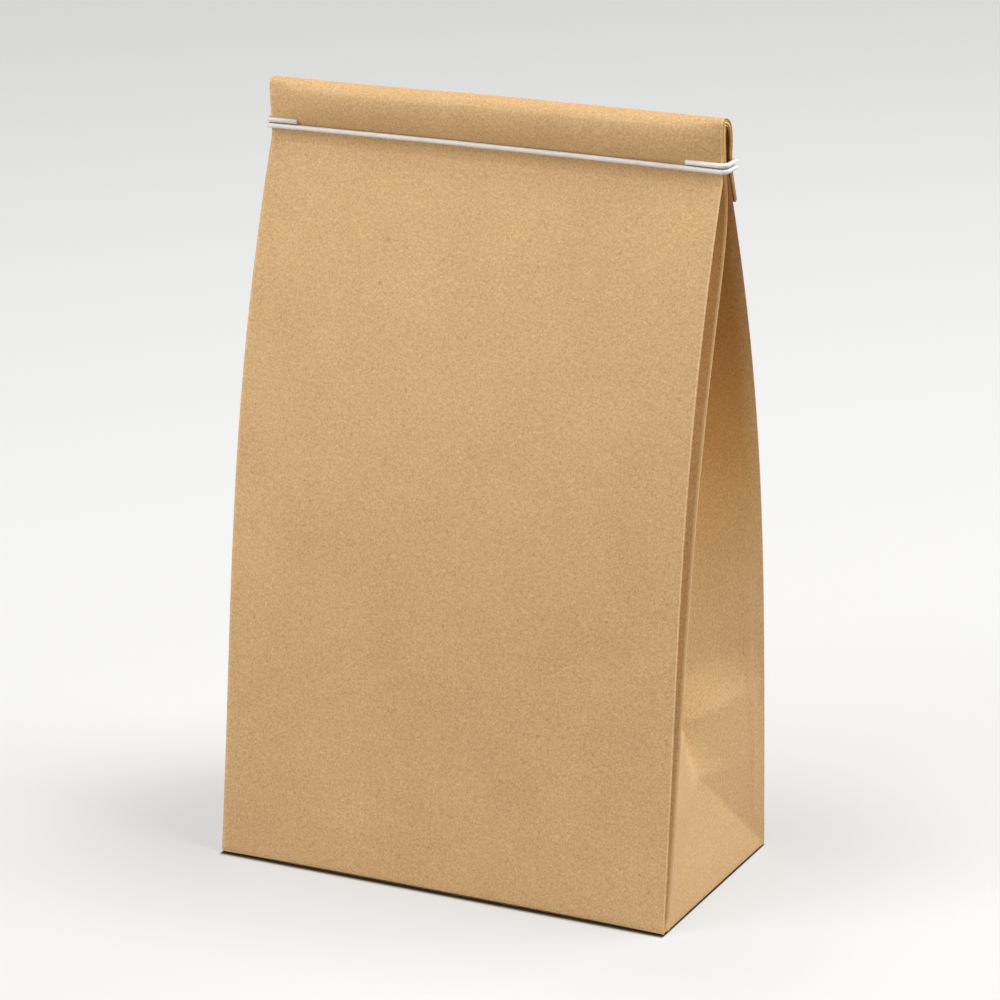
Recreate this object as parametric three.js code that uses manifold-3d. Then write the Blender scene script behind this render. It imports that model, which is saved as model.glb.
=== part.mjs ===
// A kraft paper tin tie bag: a side-gusset bag with a block bottom, standing closed, its top folded over once
// to the back and held by a coated wire tie. Millimetres, +Z up. The origin is the middle of the foot, the
// front panel faces -Y, and the two gussets mirror each other.
import * as THREE from 'three';
import Module from 'manifold-3d';

const { degToRad, lerp, smoothstep } = THREE.MathUtils;

// Foot and panels
const BASE_WIDTH = 121; // front panel across the foot
const BASE_DEPTH = 63.5; // side panel across the foot
const NECK_WIDTH = 119.4; // front panel across the closed neck
const FRONT_LEAN = degToRad(6.8); // the front panel leans back by this at the foot
const REAR_LEAN = degToRad(2.3); // the back panel leans forward by this at the foot
const FRONT_NECK_LEAN = degToRad(20.1); // and the panels come together at these angles at the neck
const REAR_NECK_LEAN = degToRad(22.4);
const LOWER_FULLNESS = 0.375; // share of the neck's height over which the foot's lean is kept
const UPPER_FULLNESS = 0.4; // and the same for the neck's lean
const PANEL_BULGE = 2.2; // how far the middle of a panel stands proud of its edges
const FOOT_FOLD = 0.4; // rounding of the folded edge round the foot
const SEAM_THICKNESS = 0.3; // step of the glued seam down the middle of the back
const SEAM_LAP = 12; // overlap of the sheet at that seam
const SEAM_RISE = 10; // the seam comes out of the bottom fold and is full at this height

// Gussets
const GUSSET_SHEET = 68; // flat width of the sheet from the front edge to the rear edge
const PLEAT_FOOT = 1.5; // width of the narrow pleat behind the front edge, at the foot
const PLEAT_NECK = 9; // and where the gusset would end, at the neck
const PLEAT_SHARE = 0.66; // the pleat never takes more of the bag's depth than this
const SLIT_FOOT = 0.85; // depth of the slit in the pleat against its width, at the foot
const SLIT_NECK = 1.4; // and at the neck
const SLIT_RISE = 3; // the slit comes out of the bottom fold and is full at this height
const SLIT_PLACE = 0.35; // place of the slit's bottom across the pleat
const APEX_HEIGHT = 28.3; // top of the triangle that the bottom fold leaves on each side
const APEX_DEPTH = 5.2; // how far that top is pushed in
const FACET_HEIGHT = 23.6; // the crease from the apex reaches the panel's edge at this height
const BEND_HEIGHT = 42.5; // the soft crease above
const BEND_DEPTH = 13.2; // how far the valley is pushed in there
const CREASE_BULGE = 2.2; // the gusset stands out this far along that crease, halfway to its edges
const FULL_FOLD_HEIGHT = 56; // the gusset reaches its full fold here
const VALLEY_PLACE = 0.43; // place of the valley's line between the pleat and the rear edge, once folded
const VALLEY_CLOSING = 3.2; // valley's depth against its opening where the neck presses it shut
const PRESSED = 0.8; // share of the slit's and valley's depth that is lost where the fold is pressed flat

// Bottom flaps
const BOTTOM_THICKNESS = 0.2; // step from one glued flap to the next
const BOTTOM_LAP = 12; // the outer flap reaches this far past the middle

// Neck, fold and flap
const TIE_HEIGHT = 179.7; // middle of the tie's front run above the foot
const NECK_DROP = 3.7; // the panels reach the closed neck this far below the tie
const NECK_DEPTH = 4.7; // front to back there
const NECK_FLARE = 0.42; // the front face there stands this far ahead of the pinch
const CLOSURE_SET_BACK = 1.8; // the clamped layers' middle lies this far behind the foot's middle
const PINCH_THICKNESS = 1.9; // layers of the neck under the tie
const LEG_GAP = 1.9; // between the neck and the flap under the tie
const FLAP_THICKNESS = 1.7; // layers of the flap under the tie
const FOLD_RISE = 12; // top of the fold above the tie
const FOLD_THICKNESS = 1.8; // layers in the fold
const FOLD_BULGE = 1.1; // the fold's front face stands this far ahead of the pinch
const CROWN_PLACE = 0.28; // place of the fold's top between its front and back legs
const CROWN_ROUND = 1.5; // the fold rounds off over this height in front of its top
const CROWN_FALL = 4.2; // and falls this far behind it
const FLAP_DROP = 8.7; // the mouth's edge hangs this far below the tie at the back
const MOUTH_THICKNESS = 0.9; // layers at the mouth's edge
const FLAP_STAND_OFF = 1.5; // gap between the mouth's edge and the back panel

// Tie
const TIE_DIAMETER = 1.2;
const TIE_PITCH = 1.45; // between the middles of a tab and the run below it
const TIE_CLEARANCE = 0.3; // between the tie and the paper
const TIE_BEND = 1.2; // bend of the wire's middle round the ends of the fold
const TIE_HOOK = 5; // reach of each hairpin on the back
const LEFT_TAB = 7.7; // length of each tab in from the end of the fold
const RIGHT_TAB = 9.2;

// Fineness of the facets
const PANEL_STEPS = 8;
const VALLEY_STEPS = 4;
const BODY_STEPS = 16;
const SPAN_STEPS = 4;
const ARCH_STEPS = 2;
const BEND_RINGS = 2;
const TIE_SIDES = 10;
const BEND_STEPS = 5;

const KRAFT = new THREE.MeshStandardMaterial({ color: 0xcca676, roughness: 0.9, metalness: 0 });
const WHITE_COATING = new THREE.MeshStandardMaterial({ color: 0xe8e2da, roughness: 0.45, metalness: 0 });

const NECK_HEIGHT = TIE_HEIGHT - NECK_DROP;
const CLAMP_DEPTH = PINCH_THICKNESS + LEG_GAP + FLAP_THICKNESS;
const FRONT_FACE = CLOSURE_SET_BACK - CLAMP_DEPTH / 2;
const BACK_FACE = CLOSURE_SET_BACK + CLAMP_DEPTH / 2;

// The smaller of two lengths, with a soft change from one to the other.
function softMin(a, b) {
  return (a * b) / Math.cbrt(a ** 3 + b ** 3);
}

// A panel's edge seen from the side: its distance from the foot's mid plane as a function of height.
function panelReach(lean, neckLean, neckReach) {
  const foot = new THREE.Vector2(BASE_DEPTH / 2, 0);
  const neck = new THREE.Vector2(neckReach, NECK_HEIGHT);
  const lower = new THREE.Vector2(-Math.sin(lean), Math.cos(lean));
  const upper = new THREE.Vector2(-Math.sin(neckLean), Math.cos(neckLean));
  lower.multiplyScalar(LOWER_FULLNESS * NECK_HEIGHT).add(foot);
  upper.multiplyScalar(-UPPER_FULLNESS * NECK_HEIGHT).add(neck);
  const curve = new THREE.CubicBezierCurve(foot, lower, upper, neck);
  return (height) => {
    let low = 0;
    let high = 1;
    for (let halving = 0; halving < 40; halving += 1) {
      const middle = (low + high) / 2;
      if (curve.getPoint(middle).y < height) low = middle;
      else high = middle;
    }
    return curve.getPoint(low).x;
  };
}

const frontReach = panelReach(FRONT_LEAN, FRONT_NECK_LEAN, NECK_FLARE - FRONT_FACE);
const rearReach = panelReach(REAR_LEAN, REAR_NECK_LEAN, FRONT_FACE - NECK_FLARE + NECK_DEPTH);

function bodyDepth(height) {
  return frontReach(height) + rearReach(height);
}

function bodyMiddle(height) {
  return (rearReach(height) - frontReach(height)) / 2;
}

// Width of the pleat behind the front edge, for a section of this depth at this height.
function pleatWidth(depth, height) {
  return softMin(lerp(PLEAT_FOOT, PLEAT_NECK, height / NECK_HEIGHT), PLEAT_SHARE * depth);
}

// Depth of the slit in the pleat against the pleat's width.
function slitShare(height) {
  return lerp(SLIT_FOOT, SLIT_NECK, height / NECK_HEIGHT);
}

// Depth of the gusset's valley where it is fully folded: the sheet keeps its flat width.
function foldedValley(depth, height) {
  const pleat = pleatWidth(depth, height);
  const opening = depth - pleat;
  const share = slitShare(height);
  const slitSheet = pleat * (Math.hypot(SLIT_PLACE, share) + Math.hypot(1 - SLIT_PLACE, share));
  const halfSheet = (GUSSET_SHEET - slitSheet) / 2;
  const valley = Math.sqrt(Math.max(halfSheet ** 2 - (opening / 2) ** 2, 0));
  return softMin(valley, VALLEY_CLOSING * opening);
}

const FULL_FOLD_VALLEY = foldedValley(bodyDepth(FULL_FOLD_HEIGHT), FULL_FOLD_HEIGHT);

// How far the gusset is pushed in at a place across it, from 0 at its edges to 1 at the valley's line. Near
// the foot the bottom fold's creases shape it: the triangle, the upright facets beside it, the leaning facets
// above it and the soft crease on the way to the full fold.
function gussetInset(across, depth, height) {
  const facet = lerp(FACET_HEIGHT, APEX_HEIGHT, across);
  if (height <= facet) return APEX_DEPTH * Math.min(across, height / APEX_HEIGHT);
  if (height >= FULL_FOLD_HEIGHT) return across * foldedValley(depth, height);
  const bulge = CREASE_BULGE * 6.75 * across ** 2 * (1 - across);
  if (height <= BEND_HEIGHT) {
    const risen = (height - facet) / (BEND_HEIGHT - facet);
    return across * lerp(APEX_DEPTH, BEND_DEPTH, risen) - bulge * risen;
  }
  const risen = (height - BEND_HEIGHT) / (FULL_FOLD_HEIGHT - BEND_HEIGHT);
  return across * lerp(BEND_DEPTH, FULL_FOLD_VALLEY, risen) - bulge * (1 - risen);
}

// Place of the valley's line across the gusset: the middle at the foot, and further forward above it because
// the pleat takes up some of the front half.
function valleyPlace(height) {
  return lerp(0.5, VALLEY_PLACE, Math.min(height / FULL_FOLD_HEIGHT, 1));
}

// One gusset's points from behind the front edge to before the rear edge: how far in, how far back, and
// whether the crease that crosses the next facet falls towards the rear.
function gusset(depth, height, pressed) {
  const pleat = pleatWidth(depth, height);
  const open = 1 - PRESSED * pressed;
  const slit = open * slitShare(height) * pleat * smoothstep(height, 0, SLIT_RISE);
  const ridge = pleat - depth / 2;
  const valley = lerp(ridge, depth / 2, valleyPlace(height));
  const points = [{ inset: slit, back: SLIT_PLACE * pleat - depth / 2, falls: false }];
  for (let step = 0; step < 2 * VALLEY_STEPS; step += 1) {
    const across = 1 - Math.abs(step - VALLEY_STEPS) / VALLEY_STEPS;
    const falls = step >= VALLEY_STEPS;
    points.push({
      inset: open * gussetInset(across, depth, height),
      back: lerp(falls ? depth / 2 : ridge, valley, across),
      falls,
    });
  }
  return points;
}

// Places across the back panel, from its right edge to its left, with the step of the glued seam.
function backPlaces(halfWidth, height) {
  const places = [];
  const seamStep = SEAM_THICKNESS * smoothstep(height, 0, SEAM_RISE);
  for (let step = 0; step <= PANEL_STEPS; step += 1) {
    const x = halfWidth * (1 - (2 * step) / PANEL_STEPS);
    if (Math.abs(x) > SEAM_LAP / 2) places.push({ x, step: 0 });
  }
  const seam = [
    { x: SEAM_LAP / 2, step: 0 },
    { x: -SEAM_LAP / 2, step: seamStep },
    { x: -SEAM_LAP / 2 - SEAM_THICKNESS, step: 0 },
  ];
  places.splice(places.length / 2, 0, ...seam);
  return places;
}

// One closed section, anticlockwise from the front left edge: across, back and the crease flag. Its gussets
// are pressed flat by a share from 0 to 1.
function section(halfWidth, depth, height, pressed) {
  const bulge = PANEL_BULGE * Math.sin((Math.PI * height) / NECK_HEIGHT) ** 2;
  const proud = (x) => bulge * (1 - (x / halfWidth) ** 2);
  const side = gusset(depth, height, pressed);
  const points = [];
  for (let step = 0; step <= PANEL_STEPS; step += 1) {
    const x = halfWidth * ((2 * step) / PANEL_STEPS - 1);
    points.push({ x, back: -depth / 2 - proud(x), falls: false });
  }
  for (const { inset, back, falls } of side) {
    points.push({ x: halfWidth - inset, back, falls });
  }
  for (const place of backPlaces(halfWidth, height)) {
    points.push({ x: place.x, back: depth / 2 + proud(place.x) + place.step, falls: false });
  }
  for (let index = side.length - 1; index >= 0; index -= 1) {
    const { inset, back } = side[index];
    points.push({ x: inset - halfWidth, back, falls: index > 0 && !side[index - 1].falls });
  }
  return points;
}

// Sets a section across a path in the plane of Y and Z, square to the path's direction.
function placeSection(points, middle, direction) {
  return points.map(({ x, back, falls }) => ({
    at: new THREE.Vector3(x, middle.y + back * direction.z, middle.z - back * direction.y),
    falls,
  }));
}

// A closed solid through rings of equally many points, with a fan over each end.
function loft(rings) {
  const count = rings[0].length;
  const positions = rings.flat().flatMap(({ at }) => at.toArray());
  const index = [];
  for (let ring = 0; ring + 1 < rings.length; ring += 1) {
    for (let place = 0; place < count; place += 1) {
      const next = (place + 1) % count;
      const a = ring * count + place;
      const b = ring * count + next;
      const c = b + count;
      const d = a + count;
      if (rings[ring][place].falls) index.push(a, b, d, b, c, d);
      else index.push(a, b, c, a, c, d);
    }
  }
  for (const ring of [0, rings.length - 1]) {
    const centre = new THREE.Vector3();
    rings[ring].forEach(({ at }) => centre.addScaledVector(at, 1 / count));
    const hub = positions.length / 3;
    positions.push(...centre.toArray());
    for (let place = 0; place < count; place += 1) {
      const here = ring * count + place;
      const next = ring * count + ((place + 1) % count);
      if (ring === 0) index.push(hub, next, here);
      else index.push(hub, here, next);
    }
  }
  const geometry = new THREE.BufferGeometry();
  geometry.setAttribute('position', new THREE.Float32BufferAttribute(positions, 3));
  geometry.setIndex(index);
  return geometry;
}

// Rings of the standing body, from the folded edge of the foot to the closed neck.
function bodyRings() {
  const heights = [FOOT_FOLD];
  for (let step = 1; step <= VALLEY_STEPS; step += 1) heights.push((APEX_HEIGHT * step) / VALLEY_STEPS);
  const stretches = [
    [APEX_HEIGHT, BEND_HEIGHT, BEND_RINGS],
    [BEND_HEIGHT, FULL_FOLD_HEIGHT, BEND_RINGS],
    [FULL_FOLD_HEIGHT, NECK_HEIGHT, BODY_STEPS],
  ];
  for (const [from, to, steps] of stretches) {
    for (let step = 1; step <= steps; step += 1) heights.push(lerp(from, to, step / steps));
  }
  const up = new THREE.Vector3(0, 0, 1);
  const rings = heights.map((height) => {
    const halfWidth = lerp(BASE_WIDTH, NECK_WIDTH, height / NECK_HEIGHT) / 2;
    const middle = new THREE.Vector3(0, bodyMiddle(height), height);
    return placeSection(section(halfWidth, bodyDepth(height), height, 0), middle, up);
  });
  const foot = section(BASE_WIDTH / 2 - FOOT_FOLD, BASE_DEPTH - 2 * FOOT_FOLD, 0, 0);
  rings.unshift(placeSection(foot, new THREE.Vector3(), up));
  return rings;
}

// Rings of the closure: up from the neck, over the fold and down the back to the mouth's edge. Along the
// path, x holds the thickness of the layers. It starts in the body, so that it leaves the neck smoothly.
function closureRings() {
  const frontLeg = FRONT_FACE - FOLD_BULGE + FOLD_THICKNESS / 2;
  const backLeg = BACK_FACE - FOLD_THICKNESS / 2;
  const pinchHeight = TIE_HEIGHT + TIE_PITCH / 2;
  const mouth = TIE_HEIGHT - FLAP_DROP;
  const crown = lerp(frontLeg, backLeg, CROWN_PLACE);
  const top = TIE_HEIGHT + FOLD_RISE - FOLD_THICKNESS / 2;
  const arch = [];
  for (let step = -ARCH_STEPS; step <= ARCH_STEPS; step += 1) {
    const angle = (Math.PI / 2) * (step / ARCH_STEPS);
    const reach = step < 0 ? crown - frontLeg : backLeg - crown;
    const drop = step < 0 ? CROWN_ROUND : CROWN_FALL;
    const y = crown + reach * Math.sin(angle);
    arch.push(new THREE.Vector3(FOLD_THICKNESS, y, top - drop * (1 - Math.cos(angle))));
  }
  const places = [NECK_HEIGHT - NECK_DROP, NECK_HEIGHT].map(
    (height) => new THREE.Vector3(bodyDepth(height), bodyMiddle(height), height));
  places.push(
    new THREE.Vector3(PINCH_THICKNESS, FRONT_FACE + PINCH_THICKNESS / 2, pinchHeight),
    ...arch,
    new THREE.Vector3(FLAP_THICKNESS, BACK_FACE - FLAP_THICKNESS / 2, pinchHeight),
    new THREE.Vector3(MOUTH_THICKNESS, rearReach(mouth) + FLAP_STAND_OFF + MOUTH_THICKNESS / 2, mouth),
  );
  const path = new THREE.CatmullRomCurve3(places);
  const spans = places.length - 1;
  const rings = [];
  for (let step = SPAN_STEPS + 1; step <= SPAN_STEPS * spans; step += 1) {
    const along = step / (SPAN_STEPS * spans);
    const middle = path.getPoint(along);
    const direction = path.getTangent(along).setX(0).normalize();
    const pressed = Math.min(step / SPAN_STEPS - 1, 1);
    rings.push(placeSection(section(NECK_WIDTH / 2, middle.x, NECK_HEIGHT, pressed), middle, direction));
  }
  return rings;
}

// A flat prism under the foot, from below it up to a depth.
function footPrism(corners, depth) {
  const shape = new THREE.Shape(corners.map(([x, y]) => new THREE.Vector2(x, y)));
  const geometry = new THREE.ExtrudeGeometry(shape, { depth: depth + BOTTOM_THICKNESS, bevelEnabled: false });
  return geometry.translate(0, 0, -BOTTOM_THICKNESS);
}

// The spaces beside the bottom's outer flap: the inner flap lies one step in, the tucked side triangles two.
function bottomRecesses() {
  const x = BASE_WIDTH / 2 + FOOT_FOLD;
  const y = BASE_DEPTH / 2 + FOOT_FOLD;
  const tuck = (BASE_WIDTH - BASE_DEPTH) / 2;
  const tip = tuck - BOTTOM_LAP;
  const beside = [[-x, -y], [x, -y], [x, y], [tip, -BOTTOM_LAP], [-tip, -BOTTOM_LAP], [-x, y]];
  return [
    footPrism(beside, BOTTOM_THICKNESS),
    footPrism([[x, -y], [x, y], [tuck, 0]], 2 * BOTTOM_THICKNESS),
    footPrism([[-x, y], [-x, -y], [-tuck, 0]], 2 * BOTTOM_THICKNESS),
  ];
}

// Rings of a round wire along a route of straight runs with rounded corners.
function wireRings(corners, bends) {
  const stations = [];
  const direction = (from, to) => corners[to].clone().sub(corners[from]).normalize();
  stations.push({ at: corners[0], along: direction(0, 1) });
  for (let corner = 1; corner + 1 < corners.length; corner += 1) {
    const before = direction(corner - 1, corner);
    const after = direction(corner, corner + 1);
    const bend = bends[corner];
    const centre = corners[corner].clone().addScaledVector(before, -bend).addScaledVector(after, bend);
    for (let step = 0; step <= BEND_STEPS; step += 1) {
      const angle = (Math.PI / 2) * (step / BEND_STEPS);
      const at = centre.clone();
      at.addScaledVector(before, bend * Math.sin(angle)).addScaledVector(after, -bend * Math.cos(angle));
      const along = before.clone().multiplyScalar(Math.cos(angle)).addScaledVector(after, Math.sin(angle));
      const last = stations[stations.length - 1].at;
      if (last.distanceTo(at) > TIE_DIAMETER / 100) stations.push({ at, along });
    }
  }
  const end = corners.length - 1;
  stations.push({ at: corners[end], along: direction(end - 1, end) });

  const side = new THREE.Vector3(0, 0, 1);
  return stations.map(({ at, along }, index) => {
    if (index > 0) {
      side.applyQuaternion(new THREE.Quaternion().setFromUnitVectors(stations[index - 1].along, along));
    }
    const other = along.clone().cross(side);
    const ring = [];
    for (let place = 0; place < TIE_SIDES; place += 1) {
      const angle = (2 * Math.PI * place) / TIE_SIDES;
      const point = at.clone().addScaledVector(side, (TIE_DIAMETER / 2) * Math.cos(angle));
      point.addScaledVector(other, (TIE_DIAMETER / 2) * Math.sin(angle));
      ring.push({ at: point, falls: false });
    }
    return ring;
  });
}

// The tie's route: from the left tab round the fold's end to a hairpin on the back, back to the front, across
// it, and the same at the right.
function tieRoute() {
  const reach = TIE_CLEARANCE + TIE_DIAMETER / 2;
  const side = NECK_WIDTH / 2 + reach;
  const front = FRONT_FACE - reach;
  const back = BACK_FACE + reach;
  const run = TIE_HEIGHT;
  const tab = TIE_HEIGHT + TIE_PITCH;
  const hook = side - TIE_HOOK;
  const half = (hand, end) => [
    [hand * end, front, tab],
    [hand * side, front, tab],
    [hand * side, back, tab],
    [hand * hook, back, tab],
    [hand * hook, back, run],
    [hand * side, back, run],
    [hand * side, front, run],
  ].map(([x, y, z]) => new THREE.Vector3(x, y, z));
  const hairpin = TIE_PITCH / 2;
  const halfBends = [0, TIE_BEND, TIE_BEND, hairpin, hairpin, TIE_BEND, TIE_BEND];
  const left = half(-1, NECK_WIDTH / 2 - LEFT_TAB);
  const right = half(1, NECK_WIDTH / 2 - RIGHT_TAB).reverse();
  return { corners: [...left, ...right], bends: [...halfBends, ...halfBends.toReversed()] };
}

const wasm = await Module();
wasm.setup();

// A solid for cutting, from a closed geometry whose equal points are joined.
function solidOf(geometry) {
  const points = new Map();
  const vertProperties = [];
  const position = geometry.getAttribute('position');
  const order = geometry.index ? [...geometry.index.array] : [...Array(position.count).keys()];
  const triVerts = order.map((vertex) => {
    const at = [position.getX(vertex), position.getY(vertex), position.getZ(vertex)];
    const key = at.map((value) => value.toFixed(5)).join(' ');
    if (!points.has(key)) {
      points.set(key, points.size);
      vertProperties.push(...at);
    }
    return points.get(key);
  });
  return new wasm.Manifold(new wasm.Mesh({
    numProp: 3,
    vertProperties: new Float32Array(vertProperties),
    triVerts: new Uint32Array(triVerts),
  }));
}

function geometryOf(solid) {
  const mesh = solid.getMesh();
  const geometry = new THREE.BufferGeometry();
  geometry.setAttribute('position', new THREE.BufferAttribute(mesh.vertProperties, 3));
  geometry.setIndex(new THREE.BufferAttribute(mesh.triVerts, 1));
  geometry.computeVertexNormals();
  return geometry;
}

function paperBag() {
  let solid = solidOf(loft([...bodyRings(), ...closureRings()]));
  for (const recess of bottomRecesses()) solid = solid.subtract(solidOf(recess));
  const mesh = new THREE.Mesh(geometryOf(solid), KRAFT);
  mesh.name = 'paper_bag';
  return mesh;
}

function tinTie() {
  const { corners, bends } = tieRoute();
  const geometry = loft(wireRings(corners, bends));
  geometry.computeVertexNormals();
  const mesh = new THREE.Mesh(geometry, WHITE_COATING);
  mesh.name = 'tin_tie';
  return mesh;
}

const tinTieBag = new THREE.Group();
tinTieBag.add(paperBag(), tinTie());

export default tinTieBag;
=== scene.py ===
"""A closed kraft paper tin tie bag, standing on a pale studio floor.

Lengths are millimetres until a mesh is made. The front panel faces -Y and +Z is up.
"""
import math

import bpy
import numpy as np
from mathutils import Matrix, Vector


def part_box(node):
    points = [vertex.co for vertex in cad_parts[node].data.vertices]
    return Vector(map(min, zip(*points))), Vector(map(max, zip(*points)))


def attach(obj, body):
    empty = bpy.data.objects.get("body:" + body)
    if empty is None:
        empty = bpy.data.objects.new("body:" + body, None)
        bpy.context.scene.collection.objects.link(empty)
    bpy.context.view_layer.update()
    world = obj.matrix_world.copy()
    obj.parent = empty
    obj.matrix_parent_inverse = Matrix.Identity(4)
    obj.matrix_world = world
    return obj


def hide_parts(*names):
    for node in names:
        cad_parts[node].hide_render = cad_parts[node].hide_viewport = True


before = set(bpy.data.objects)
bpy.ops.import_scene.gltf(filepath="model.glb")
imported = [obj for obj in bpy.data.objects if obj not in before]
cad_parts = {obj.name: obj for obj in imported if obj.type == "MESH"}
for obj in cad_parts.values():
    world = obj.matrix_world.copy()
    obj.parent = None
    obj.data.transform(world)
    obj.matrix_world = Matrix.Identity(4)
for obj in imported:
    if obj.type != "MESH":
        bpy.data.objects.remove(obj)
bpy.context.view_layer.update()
paper_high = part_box("paper_bag")[1]
tie_low, tie_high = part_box("tin_tie")

MM = 0.001

# Sizes of the tie
TIE_DIAMETER = 1.2
TIE_PITCH = 1.45  # between the middles of a tab and the run below it
TIE_CLEARANCE = 0.3  # between the solid tie and the ends of the fold
TIE_GAP = 0.1  # the wire lies this close to the paper
TIE_BEND = 1.2  # bend of the wire's middle round the ends of the fold
TIE_HOOK = 5.0  # reach of each hairpin on the back
LEFT_TAB = 7.7  # length of each tab in from the end of the fold
RIGHT_TAB = 9.2
TIE_CROWN = 0.35  # the run's middle lies this much higher than its ends
TIE_CUT_BEVEL = 0.05
TIE_HEIGHT = tie_low.z / MM + TIE_DIAMETER / 2

# Sizes of the foot and panels
BASE_WIDTH = 2 * paper_high.x / MM
BASE_DEPTH = 63.5
NECK_DROP = 3.7  # the panels reach the closed neck this far below the tie
NECK_HEIGHT = TIE_HEIGHT - NECK_DROP
NECK_WIDTH = 2 * (tie_high.x / MM - TIE_DIAMETER - TIE_CLEARANCE)
FRONT_LEAN = math.radians(6.8)  # the panels lean in by this at the foot
REAR_LEAN = math.radians(2.3)
FRONT_NECK_LEAN = math.radians(20.1)  # and by this at the neck
REAR_NECK_LEAN = math.radians(22.4)
LOWER_FULLNESS = 0.375  # share of the neck's height over which the foot's lean is kept
UPPER_FULLNESS = 0.4  # and the same for the neck's lean
PANEL_BULGE = 2.2  # how far the middle of a panel stands proud of its edges
FOOT_FOLD = 0.35  # rounding of the folded edge round the foot
FOOT_ARCH = 0.4  # the middle of the front's edge lifts off the floor by this
SIDE_ARCH = 0.12  # and the middle of a side's edge by this
CORNER_LIFT = 0.03  # and the corners by this
FOLD_REACH = 0.4  # a folded edge rounds off over this length on each side
RIDGE_REACH = 1.0  # and the pleat's ridge over this length on its front side
ROUND_SHARE = 0.45  # but over no more than this share of the side
HAIRLINE_PLACE = 0.6  # the crease mark beside a folded edge
HAIRLINE_DEPTH = 0.06
HAIRLINE_WIDTH = 0.11

# Sizes of the back seam
SEAM_THICKNESS = 0.3
SEAM_LAP = 12.0  # overlap of the sheet
SEAM_RISE = 10.0  # the seam comes out of the bottom fold and is full at this height
SEAM_EDGE = 0.06  # the cut edge of the sheet falls away over this width
SEAM_MARGIN = 0.5  # columns at this distance keep the paper flat beside the cut edge
SEAM_TELEGRAPH = 0.9  # the hidden edge under the lap shows as a soft step over this width

# Sizes of the gussets
GUSSET_SHEET = 70.5  # flat width of the sheet from the front edge to the rear edge
PLEAT_FOOT = 2.7  # width of the narrow pleat behind the front edge, at the foot
PLEAT_NECK = 9.8  # and where the gusset would end, at the neck
PLEAT_SHARE = 0.66  # the pleat never takes more of the bag's depth than this
SLIT_FOOT = 0.85  # depth of the slit in the pleat against its width, at the foot
SLIT_NECK = 1.4  # and at the neck
SLIT_RISE = 3.0  # the slit comes out of the bottom fold and is full at this height
SLIT_PLACE = 0.3  # place of the slit's bottom across the pleat
SLIT_WALL = (0.46, 0.54)  # a band of columns halfway up the slit's rear wall
APEX_HEIGHT = 28.3  # top of the triangle that the bottom fold leaves on each side
APEX_DEPTH = 5.2  # how far that top is pushed in
FACET_HEIGHT = 23.6  # the crease from the apex reaches the panel's edge at this height
BEND_HEIGHT = 41.0  # the soft crease above, at the valley
BEND_RISE = 3.7  # it lies this much higher at the gusset's edges
BEND_DEPTH = 11.2  # how far the valley is pushed in there
CREASE_BULGE = 2.0  # the gusset stands this far out along the soft crease
SWELL_SCALE = 27 / 4  # brings the peak of the swelling's curve to 1
RIM_BULGE = 0.25  # an old fold mark beside the rear edge stands out by this
RIM_PLACE = 0.16
RIM_HALF_WIDTH = 0.05
RIM_FOOT = (6, 18)  # it rises between these heights
RIM_HEAD = (55, 80)  # and fades between these
FULL_FOLD_HEIGHT = 55.0  # the gusset reaches its full fold here
FOLD_EASE = 1.5  # how softly it does so above the soft crease
VALLEY_PLACE = 0.4  # place of the valley's line between the pleat and the rear edge, once folded
VALLEY_CLOSING = 3.2  # valley's depth against its opening where the neck presses it shut
PRESSED = 0.8  # share of the slit's and valley's depth that is lost where the fold is pressed flat

# Sizes of the bottom flaps
BOTTOM_THICKNESS = 0.2  # step from one glued flap to the next
BOTTOM_LAP = 12.0  # the outer flap reaches this far past the middle

# Sizes of the neck, fold and flap
NECK_DEPTH = 4.7
NECK_FLARE = 0.42  # the neck's front face stands this far ahead of the pinch
CLOSURE_SET_BACK = 1.8  # the clamped layers' middle lies this far behind the foot's middle
PINCH_THICKNESS = 1.9  # layers of the neck under the tie
LEG_GAP = 1.9  # between the neck and the flap under the tie
FLAP_THICKNESS = 1.7  # layers of the flap under the tie
FOLD_RISE = 12.25  # top of the fold above the tie
FOLD_THICKNESS = 1.8  # layers in the fold
FOLD_BULGE = 1.9  # the fold's front face stands this far ahead of the pinch
CROWN_PLACE = 0.28  # place of the fold's top between its front and back legs
CROWN_ROUND = 1.5  # the fold rounds off over this height in front of its top
CROWN_FALL = 4.2  # and falls this far behind it
FOLD_TILT = 0.45  # the fold's right half lies this much higher than its left end
TILT_PLACES = (-36, 6)  # and rises between these places across it
FOLD_BELLY = 1.6  # the fold's front swells by this between its ends, which lie flat
BELLY_EASE = 0.75  # under 1, so that it is fullest below the fold's middle
END_POWER = 10  # how close to the fold's ends they start to lie flat
END_FLATTENING = 0.7  # share of the fold's bulge that the ends lose
FLAT_RISE = 0.8  # in full from this share of the fold's rise on
FRONT_LEG_SPANS = (0.99, 1, 2, 4)  # spans of the closure where the fold's front leg starts, is whole and ends
NECK_HOLLOW = 0.8  # the front panel is this much hollow under the tie
HOLLOW_DROP = 3.5  # and most so at this distance below it
FLAP_DROP = 8.7  # the mouth's edge hangs this far below the tie at the back
MOUTH_THICKNESS = 0.9  # layers at the mouth's edge
FLAP_STAND_OFF = 1.5  # gap between the mouth's edge and the back panel

CLAMP_DEPTH = PINCH_THICKNESS + LEG_GAP + FLAP_THICKNESS
FRONT_FACE = CLOSURE_SET_BACK - CLAMP_DEPTH / 2
BACK_FACE = CLOSURE_SET_BACK + CLAMP_DEPTH / 2
PINCH_HEIGHT = TIE_HEIGHT + TIE_PITCH / 2
FOOT_TOP = 2 * BOTTOM_THICKNESS + FOOT_FOLD

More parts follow.
